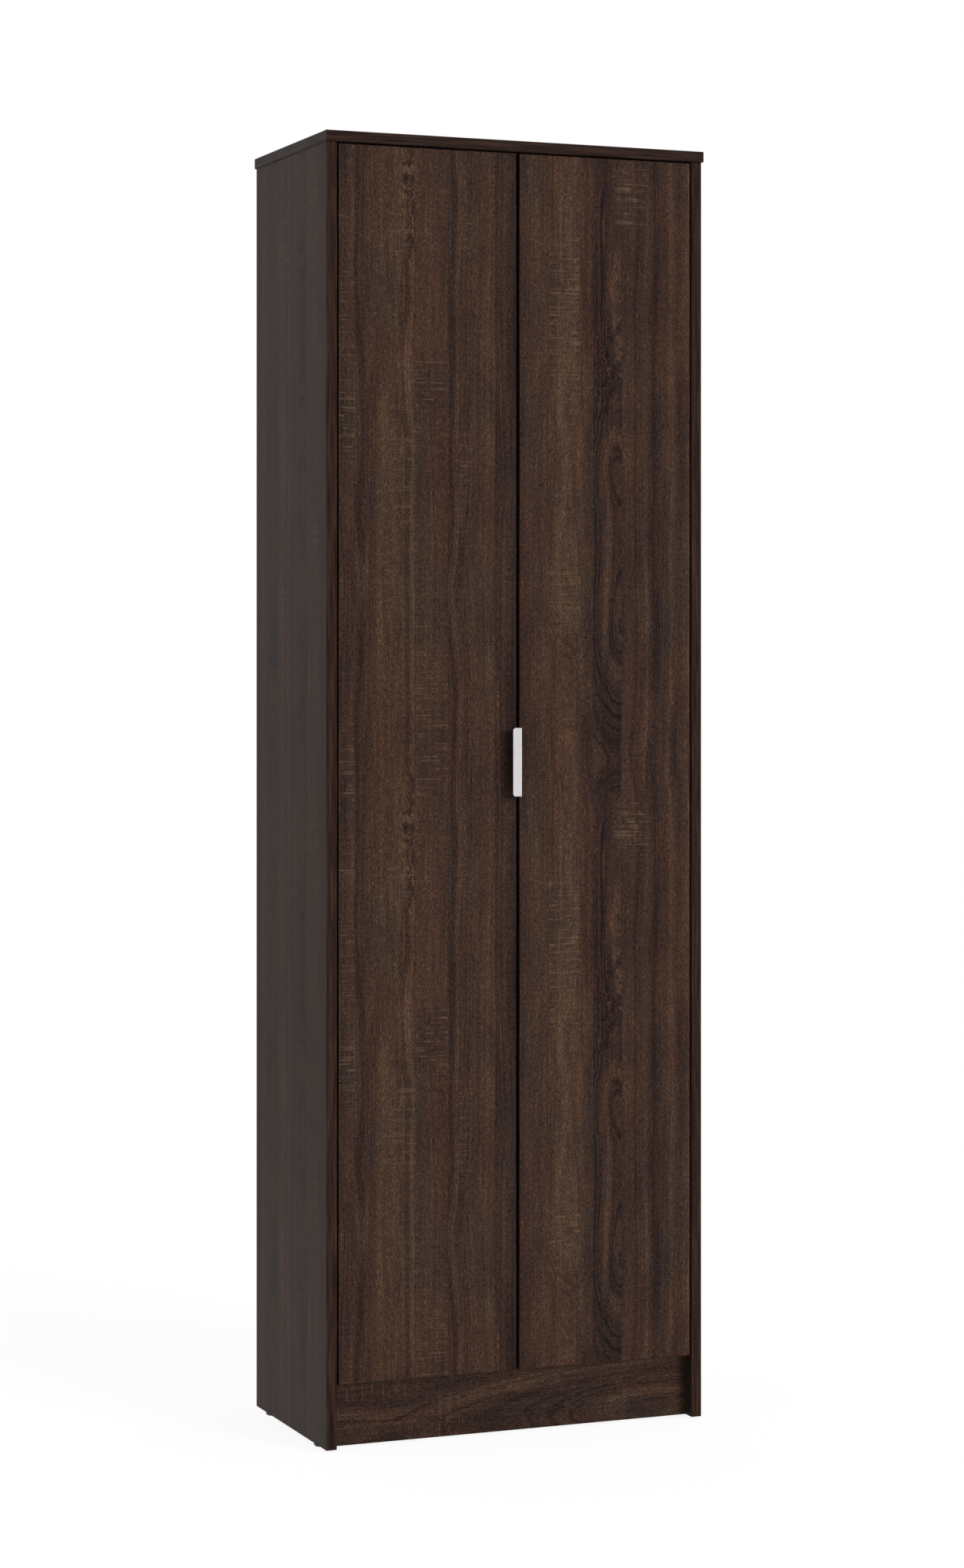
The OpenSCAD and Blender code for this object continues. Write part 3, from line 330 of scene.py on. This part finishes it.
# the planks, their rings and their saw marks lie where the photograph shows them; none stands for
# a stretch without saw marks
none = (0, 0, 0)
left_print = oak_print(
    "melamine_sawn_oak_left_door", across="X", along="Z",
    start=left_edge, top=door_top, width=door_width,
    planks=[(0, 18, 0.44, 46, 0.3, 0), (25, 41, 0.34, 46, 0.7, 0), (41, 48, 0.5, 90, 0.15, 340),
            (60, 85, 0.56, 90, 0.2, 340), (98, 118, 0.45, 90, 1.0, 340),
            (118, 169, 0.52, 300, 0.15, 0), (169, 187, 0.36, 162, 0.9, 0),
            (194, 200, 0.5, 162, 0.3, 0), (206, 243, 0.54, 162, 0.15, 0),
            (243, 247, 0.42, 330, 0.5, 150), (255, 277, 0.36, 330, 0.5, 150)],
    depths=[(0, 6), (300, 9), (520, 8), (620, 30), (690, 20), (800, 4), (939, 6)], curl=68,
    lanes=[(0, (1, 0, 0)), (24, none), (74, (0, 1, 0)), (118, (0, 0, 1)), (168, none),
           (186, (0, 1, 0)), (206, none)],
    strengths=[(0, none), (92, (0.3, 0, 0)), (100, (1, 0.7, 0)), (122, (0.2, 0.8, 0)),
               (160, (0, 0.2, 0)), (190, (0.6, 0, 0)), (275, (0.5, 0, 0.1)), (325, (0.1, 0, 0.8)),
               (370, (0.9, 0, 0.8)), (430, (0.8, 0.6, 0.1)), (480, (0, 0.6, 0)),
               (590, (0, 0.2, 0)), (800, (0.1, 0, 0.6)), (900, (0.8, 0, 0.7))])
right_print = oak_print(
    "melamine_sawn_oak_right_door", across="X", along="Z",
    start=right_edge, top=door_top, width=door_width,
    planks=[(0, 15, 0.47, 380, 0.15, 0), (40, 47, 0.54, 380, 0.15, 0), (47, 52, 0.56, 84, 0.25, 90),
            (66, 84, 0.63, 84, 0.25, 90), (104, 118, 0.5, 84, 0.2, 90),
            (118, 128, 0.39, 160, 1.0, 0), (142, 165, 0.34, 160, 1.0, 0),
            (165, 190, 0.47, -20, 0.2, 0), (212, 231, 0.4, -20, 0.2, 0),
            (231, 240, 0.46, 20, 0.2, 0), (255, 277, 0.53, 20, 0.15, 0)],
    depths=[(0, 30), (380, 32), (455, 0), (520, 24), (640, 18), (710, 10), (780, 26), (850, 50),
            (900, 72), (939, 30)], curl=315,
    lanes=[(0, none), (47, (1, 0, 0)), (97, none), (150, (0, 0.6, 0)), (165, (0, 1, 0)),
           (207, none)],
    strengths=[(0, (0, 0.3, 0)), (45, (0, 1, 0)), (95, (0, 0.9, 0)), (105, none),
               (120, (0.9, 0, 0)), (270, (1, 0, 0)), (300, (0.5, 0, 0)), (345, (0.9, 0, 0)),
               (370, none), (600, none), (618, (0.9, 0, 0)), (665, (0.8, 0.1, 0)), (680, none),
               (930, (0, 0.3, 0))])
dress(left_print, "left_door")
dress(right_print, "right_door")

# The side panels and the shelves
# The doors' board and paper again. The sides' print is calmer, and the grain of the bottom panel
# and of the fixed and loose shelves runs from side to side.
board_width = 320
plain_planks = [(0, 38, 0.44, -80, 0.3, 0), (38, 84, 0.52, 200, 0.3, 100),
                (84, 121, 0.38, 104, 0.8, 200), (121, 160, 0.49, -60, 0.2, 0),
                (170, 214, 0.56, -60, 0.2, 0), (214, 262, 0.42, 240, 0.7, 600),
                (262, 300, 0.52, 60, 0.2, 0), (300, 320, 0.46, 0, 0.3, 300)]
plain_depths = [(0, 40), (250, 20), (450, 60), (650, 5), (800, 20), (939, 40)]
side_print = oak_print(
    "melamine_sawn_oak_sides", across="Y", along="Z",
    start=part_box("left_side_panel")[0].y * MM, top=door_top, width=board_width,
    planks=plain_planks, depths=plain_depths, curl=420, contrast=0.6,
    lanes=[(0, none), (38, (1, 0, 0)), (84, none), (170, (0, 1, 0)), (214, none)],
    strengths=[(0, none), (60, (0.5, 0, 0)), (130, (0.1, 0.6, 0)), (200, none), (520, none),
               (560, (0.7, 0, 0)), (640, (0, 0.5, 0)), (700, none)])
shelf_print = oak_print(
    "melamine_sawn_oak_shelves", across="Y", along="X",
    start=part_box("middle_shelf")[0].y * MM, top=500, width=board_width,
    planks=plain_planks, depths=plain_depths, curl=700, contrast=0.8,
    lanes=[(0, none), (84, (1, 0, 0)), (121, none), (214, (0, 1, 0)), (262, none)],
    strengths=[(0, none), (260, (0.6, 0, 0)), (330, none), (600, (0, 0.6, 0)), (700, none)])
dress(side_print, "left_side_panel", "right_side_panel")
dress(shelf_print, "bottom_panel", "middle_shelf", *[f"shelf_{n}" for n in range(1, 7)])

# The top panel and the plinth board
# The same board and paper, with the grain from side to side. The top lies on the sides and stands
# a little proud of them, and the plinth is set back under the doors.
top_print = oak_print(
    "melamine_sawn_oak_top", across="Y", along="X",
    start=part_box("top_panel")[0].y * MM, top=600, width=330,
    planks=plain_planks, depths=plain_depths, curl=300,
    lanes=[(0, none), (38, (1, 0, 0)), (84, none), (170, (0, 1, 0)), (214, none)],
    strengths=[(0, none), (200, (0.6, 0, 0)), (280, none), (500, (0, 0.6, 0)), (580, none)])
plinth_print = oak_print(
    "melamine_sawn_oak_plinth", across="Z", along="X", start=0, top=600, width=110,
    planks=[(0, 26, 0.39, 20, 0.5, 0), (34, 56, 0.43, 20, 0.8, 0), (68, 84, 0.52, 20, 0.7, 0),
            (90, 110, 0.57, 20, 0.3, 0)],
    depths=[(0, 60), (330, 4), (430, 20), (620, 60), (800, 80), (939, 70)],
    curl=100, contrast=0.95,
    lanes=[(0, (1, 0, 0)), (66, (0, 1, 0))],
    strengths=[(0, none), (330, none), (420, (0.2, 0, 0)), (620, none), (700, (0.4, 0.3, 0)),
               (790, (0, 0.5, 0)), (880, (0.2, 0.6, 0)), (939, none)])
dress(top_print, "top_panel")
dress(plinth_print, "plinth_board")

# The edge bands
# Strips of ABS, glued to the boards' edges and rounded at the corners by the trimming cutter.
# Their print is darker than the faces, with fibres along the strip, 2.5 mm wide so that they show.
band_shades = [(0.32, linear("#1b1210")), (0.5, linear("#2d201b")), (0.68, linear("#402e26"))]
bands = [
    ("abs_edge_band_upright", (2.4, 2.4, 70), 0.45,
     ("side_edge_bands", "left_door_edge_bands", "right_door_edge_bands")),
    ("abs_edge_band_level", (80, 80, 2.6), 0.15, ("top_edge_bands", "shelf_edge_bands")),
]
for name, fibre_size, uneven, names in bands:
    material, tree, shader, place = start_material(name)
    scaled = add(tree, "ShaderNodeVectorMath", {0: place, 1: [MM / size for size in fibre_size]},
                 operation="MULTIPLY")
    fibres = add(tree, "ShaderNodeTexNoise",
                 {"Vector": scaled, "Scale": 1.0, "Detail": 4.0, "Roughness": 0.6})
    drift = add(tree, "ShaderNodeTexNoise", {"Vector": scaled, "Scale": 0.35, "Detail": 1.0})
    shade = summed(tree, fibres, (drift, uneven))
    colour = add(tree, "ShaderNodeValToRGB", {0: shade}, stops=band_shades)
    relief = add(tree, "ShaderNodeBump", {"Height": fibres, "Strength": 0.2,
                                          "Distance": 0.2 / MM})
    feed(tree, shader, {"Base Color": colour, "Normal": relief, "Roughness": 0.46,
                        "IOR": BOARD_IOR, "Specular IOR Level": BOARD_SHEEN})
    dress(material, *names)


# The pull
# A strip of sheet steel, bent twice and screwed behind the left door. Its satin lacquer gives a
# light grey with a soft gloss: a mottle of 1.1 mm shows that it was sprayed, and faint clouds keep
# the grey from looking flat.
def tones(dark, light):
    """A colour ramp's stops from a dark to a light tone over the middle of a noise's range."""
    return [(0.3, linear(dark)), (0.7, linear(light))]


mottle_size, cloud_size = 1.1, 22
material, tree, shader, place = start_material("satin_lacquered_steel_light_grey")
mottle = add(tree, "ShaderNodeTexNoise", {"Vector": place, "Scale": MM / mottle_size,
                                          "Detail": 3.0})
cloud = add(tree, "ShaderNodeTexNoise", {"Vector": place, "Scale": MM / cloud_size,
                                         "Detail": 2.0})
colour = add(tree, "ShaderNodeValToRGB", {0: cloud}, stops=tones("#c8c6c6", "#d1cfcf"))
relief = add(tree, "ShaderNodeBump", {"Height": mottle, "Strength": 0.12, "Distance": 0.1 / MM})
feed(tree, shader, {"Base Color": colour, "Normal": relief, "Roughness": 0.42})
dress(material, "door_pull")

# The rear panel
# Two thin halves of hardboard, nailed to the case. The face towards the shelves is lacquered a
# smooth white, and the edges and the rear face show the bare brown board with its matted fibres,
# which are drawn coarser than real so that they show.
fluff_size, fibre_size, lacquer_depth = 4, 11, 0.2
material, tree, shader, place = start_material("hardboard_white_faced")
fluff = add(tree, "ShaderNodeTexNoise", {"Vector": place, "Scale": MM / fluff_size,
                                         "Detail": 4.0})
fibre = add(tree, "ShaderNodeTexNoise", {"Vector": place, "Scale": MM / fibre_size,
                                         "Detail": 6.0, "Roughness": 0.7})
lacquer = add(tree, "ShaderNodeValToRGB", {0: fluff}, stops=tones("#dedad2", "#e9e6df"))
bare = add(tree, "ShaderNodeValToRGB", {0: fibre}, stops=tones("#6f4f37", "#96724f"))
rearward = add(tree, "ShaderNodeSeparateXYZ", {0: place}).outputs["Y"]
lacquer_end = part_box("back_panel_left")[0].y + lacquer_depth / MM
behind = add(tree, "ShaderNodeMath", {0: rearward, 1: lacquer_end}, operation="GREATER_THAN")
colour = add(tree, "ShaderNodeMix", {0: behind, 6: lacquer, 7: bare}, data_type="RGBA").outputs[2]
relief = add(tree, "ShaderNodeBump", {"Height": fluff, "Strength": 0.2, "Distance": 0.2 / MM})
feed(tree, shader, {"Base Color": colour, "Normal": relief, "Roughness": 0.6})
dress(material, "back_panel_left", "back_panel_right")

# The joint strip
# An H-profile of extruded PVC, pushed over the edges of the rear panel's halves where they meet.
# It is off-white and smooth, with the faint lines of the die along it, 0.8 mm wide.
line_size = (0.8, 0.8, 80)
material, tree, shader, place = start_material("extruded_pvc_off_white")
scaled = add(tree, "ShaderNodeVectorMath", {0: place, 1: [MM / size for size in line_size]},
             operation="MULTIPLY")
die_lines = add(tree, "ShaderNodeTexNoise", {"Vector": scaled, "Scale": 1.0, "Detail": 2.0})
colour = add(tree, "ShaderNodeValToRGB", {0: die_lines}, stops=tones("#d3d0c7", "#dcd9d1"))
feed(tree, shader, {"Base Color": colour, "Roughness": 0.4})
dress(material, "back_joint_strip")

# The blocks and the dowels
# Planed beech, left bare: blocks behind the plinth, and dowels glued into the corner joints. The
# wood is pale and dull, with fibres 1.4 mm wide, which is coarser than real so that they show.
fibre_size = (1.4, 1.4, 17)
material, tree, shader, place = start_material("bare_beech")
scaled = add(tree, "ShaderNodeVectorMath", {0: place, 1: [MM / size for size in fibre_size]},
             operation="MULTIPLY")
fibres = add(tree, "ShaderNodeTexNoise", {"Vector": scaled, "Scale": 1.0, "Detail": 4.0})
colour = add(tree, "ShaderNodeValToRGB", {0: fibres}, stops=tones("#a98a5e", "#cdb183"))
relief = add(tree, "ShaderNodeBump", {"Height": fibres, "Strength": 0.3, "Distance": 0.3 / MM})
feed(tree, shader, {"Base Color": colour, "Normal": relief, "Roughness": 0.7})
dress(material, "plinth_blocks", "wood_dowels")

# The glides
# Moulded polythene feet, nailed under the side panels. They are black and slightly dull, from the
# fine spark-eroded grain of the mould, drawn 0.7 mm wide.
spark_size = 0.7
material, tree, shader, place = start_material("moulded_polythene_black")
spark = add(tree, "ShaderNodeTexNoise", {"Vector": place, "Scale": MM / spark_size,
                                         "Detail": 2.0})
colour = add(tree, "ShaderNodeValToRGB", {0: spark}, stops=tones("#151414", "#222120"))
relief = add(tree, "ShaderNodeBump", {"Height": spark, "Strength": 0.2, "Distance": 0.1 / MM})
feed(tree, shader, {"Base Color": colour, "Normal": relief, "Roughness": 0.5})
dress(material, "glides")

# The bumpers
# Small pads of cast polyurethane that the doors close on. They are clear and soft, and a haze of
# 1.7 mm patches makes their gloss uneven.
haze_size = 1.7
material, tree, shader, place = start_material("clear_soft_polyurethane")
haze = add(tree, "ShaderNodeTexNoise", {"Vector": place, "Scale": MM / haze_size})
gloss = add(tree, "ShaderNodeMapRange", {"Value": haze, "To Min": 0.15, "To Max": 0.35})
feed(tree, shader, {"Base Color": linear("#e6e6e2"), "Roughness": gloss,
                    "Transmission Weight": 0.6, "IOR": 1.49})
dress(material, "door_bumpers")


# Hinges, pins and screws
# Nickel-plated pressings for the hinges, bright drawn steel for pins and nails, and zinc with a
# yellow passivation for screws and cam locks. Each keeps the marks of its press, die or barrel,
# which break its gloss up and are drawn 1 to 3 mm wide so that they show.
def both(*kinds):
    """The names of such nodes on the left and on the right."""
    return [f"{side}_{kind}" for side in ("left", "right") for kind in kinds]


gloss_range = 0.08
platings = [
    ("nickel_plated_pressing", "#b9b7b2", "#cfcdc8", 0.28, (2, 2, 17),
     both("hinge_cups", "outer_links", "inner_links", "hinge_arms", "hinge_plates")),
    ("bright_drawn_steel", "#9fa0a2", "#bcbdbf", 0.3, (1.1, 1.1, 1.1),
     ["shelf_pins", "back_nails", "door_pull_screws", "cam_bolts"]
     + both("hinge_cup_pins", "hinge_arm_pins")),
    ("yellow_passivated_zinc", "#a48a4b", "#cdb877", 0.35, (3.3, 3.3, 3.3),
     ["plinth_screws", "cam_locks"]
     + both("hinge_cup_screws", "hinge_plate_screws", "hinge_arm_screws")),
]
for name, dark, light, roughness, mark_size, names in platings:
    material, tree, shader, place = start_material(name)
    scaled = add(tree, "ShaderNodeVectorMath", {0: place, 1: [MM / size for size in mark_size]},
                 operation="MULTIPLY")
    marks = add(tree, "ShaderNodeTexNoise", {"Vector": scaled, "Scale": 1.0, "Detail": 3.0})
    colour = add(tree, "ShaderNodeValToRGB", {0: marks}, stops=tones(dark, light))
    gloss = add(tree, "ShaderNodeMapRange", {"Value": marks, "To Min": roughness - gloss_range,
                                             "To Max": roughness + gloss_range})
    relief = add(tree, "ShaderNodeBump", {"Height": marks, "Strength": 0.03,
                                          "Distance": 0.1 / MM})
    feed(tree, shader, {"Base Color": colour, "Roughness": gloss, "Normal": relief,
                        "Metallic": 1.0})
    dress(material, *names)


# The floor
# White matt paint on a level floor. To the camera, and in gloss and clear parts, most of it glows
# white, and the share that is paint keeps the cabinet's faint shadow.
def background_ray(tree):
    """1 for a ray that shows the background: from the camera, off gloss or through clear parts."""
    rays = add(tree, "ShaderNodeLightPath").outputs
    seen = rays["Is Camera Ray"]
    for kind in ("Is Glossy Ray", "Is Transmission Ray"):
        seen = add(tree, "ShaderNodeMath", {0: seen, 1: rays[kind]}, operation="MAXIMUM")
    return seen


side_reach, front_reach, rear_reach = 12, 8, 16
floor_mesh = bpy.data.meshes.new("floor")
floor_mesh.from_pydata([(-side_reach, -front_reach, 0), (side_reach, -front_reach, 0),
                        (side_reach, rear_reach, 0), (-side_reach, rear_reach, 0)],
                       [], [(0, 1, 2, 3)])
floor = bpy.data.objects.new("floor", floor_mesh)
bpy.context.scene.collection.objects.link(floor)
glow_share, glow_strength = 0.8, 1.12
material = bpy.data.materials.new("white_studio_floor")
tree = empty_tree(material)
glowing = add(tree, "ShaderNodeMath", {0: background_ray(tree), 1: glow_share},
              operation="MULTIPLY")
paint = add(tree, "ShaderNodeBsdfDiffuse", {"Color": linear("#f2f2f2")})
glow = add(tree, "ShaderNodeEmission", {"Color": (1, 1, 1, 1), "Strength": glow_strength})
mixed = add(tree, "ShaderNodeMixShader", {0: glowing, 1: paint, 2: glow})
add(tree, "ShaderNodeOutputMaterial", {"Surface": mixed})
floor_mesh.materials.append(material)

# The light
# A soft key lamp from the front right, as the pull's shadow shows, and low, because the doors cast
# no shadow on the plinth. An even white room lights the rest and is the background.
key_height, key_side, key_spread = 15, 27, 24
key_data = bpy.data.lights.new("key", "SUN")
key_data.energy = 1.88
key_data.angle = math.radians(key_spread)
key = bpy.data.objects.new("key", key_data)
bpy.context.scene.collection.objects.link(key)
key.rotation_euler = (math.radians(90 - key_height), 0, math.radians(key_side))
key.visible_glossy = False

room_light, white = 0.5, 1.0
world = bpy.data.worlds.new("white_room")
bpy.context.scene.world = world
tree = empty_tree(world)
strength = add(tree, "ShaderNodeMapRange", {"Value": background_ray(tree), "To Min": room_light,
                                            "To Max": white})
room = add(tree, "ShaderNodeBackground", {"Color": (1, 1, 1, 1), "Strength": strength})
add(tree, "ShaderNodeOutputWorld", {"Surface": room})
bpy.context.scene.view_settings.view_transform = "Standard"
